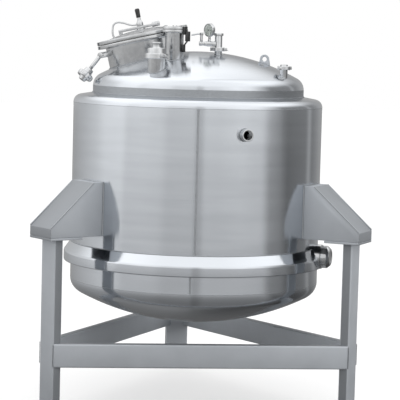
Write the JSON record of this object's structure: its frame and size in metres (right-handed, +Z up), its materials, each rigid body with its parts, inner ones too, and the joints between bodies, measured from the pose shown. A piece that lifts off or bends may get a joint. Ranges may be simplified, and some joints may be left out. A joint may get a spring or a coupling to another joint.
{
  "type": "jacketed stainless steel tank on a three-legged stand",
  "caption": "Upright jacketed process tank with dished ends and a hinged manway on top, hung by gusset brackets on a braced stand.",
  "frame": {"origin": "centre of the part's footprint box at floor level, the feet standing on Z = 0; the tank's axis is 130 mm in front of it", "axes": "+Z up, +Y towards the back leg, +X to the right seen from the front"},
  "size_m": [1.7368, 1.631, 2.0369],
  "materials": {
    "polished_steel": "polished, with fine brushing round the axis",
    "fitting_steel": "machined and polished",
    "satin_steel": "blasted satin grey",
    "black_plastic": "moulded, half matt",
    "seal_rubber": "matt white silicone",
    "sight_glass": "clear, slightly green"
  },
  "bodies": {
    "tank": {"vessel_shell": "polished_steel", "vessel_top_head": "polished_steel", "vessel_bottom_head": "polished_steel", "jacket_shell": "polished_steel", "jacket_shoulder": "polished_steel", "jacket_bottom_head": "polished_steel", "jacket_ring": "polished_steel", "jacket_socket": "polished_steel", "ring_nozzle": "fitting_steel", "ring_nozzle_cap": "fitting_steel", "manway_neck": "polished_steel", "manway_gasket": "seal_rubber", "sight_neck": "fitting_steel", "sight_cover": "fitting_steel", "sight_pane": "sight_glass", "capped_nozzle": "fitting_steel", "capped_nozzle_clamp": "fitting_steel", "capped_nozzle_cap": "fitting_steel", "side_nozzle": "fitting_steel", "side_nozzle_clamp": "fitting_steel", "side_nozzle_cap": "fitting_steel", "riser_nozzle": "fitting_steel", "riser_nozzle_clamp": "fitting_steel", "riser_tee": "fitting_steel", "riser_cap": "fitting_steel", "gauge_case": "fitting_steel", "vent_cock": "fitting_steel", "lifting_lug_right": "fitting_steel", "lifting_lug_back": "fitting_steel", "gusset_back": "satin_steel", "gusset_left": "satin_steel", "gusset_right": "satin_steel", "base_plate_back": "satin_steel", "base_plate_left": "satin_steel", "base_plate_right": "satin_steel", "leg_back": "satin_steel", "leg_left": "satin_steel", "leg_right": "satin_steel", "beam_front": "satin_steel", "beam_left": "satin_steel", "beam_right": "satin_steel"},
    "lid": {"manway_lid": "polished_steel", "lid_bar": "fitting_steel", "lid_stem": "fitting_steel", "lid_grip": "black_plastic", "lid_handle": "fitting_steel"},
    "bolt": {"swing_bolt": "fitting_steel", "swing_knob": "fitting_steel"},
    "lever": {"vent_lever": "fitting_steel"}
  },
  "joints": [
    {"name": "lid_hinge", "type": "hinge", "parent": "tank", "child": "lid", "pos_m": [-0.09589, 0.09122, 1.9093], "axis": [-0.6367, 0.7516, -0.1723], "range_deg": [0, 110]},
    {"name": "swing_bolt_pivot", "type": "hinge", "parent": "tank", "child": "bolt", "pos_m": [-0.51413, -0.13118, 1.78809], "axis": [0.1821, -0.9803, 0.0769], "range_deg": [-130, 0]},
    {"name": "vent_lever_turn", "type": "hinge", "parent": "tank", "child": "lever", "pos_m": [-0.00653, -0.27993, 1.90361], "axis": [0, 0, 1], "range_deg": [0, 90]}
  ]
}
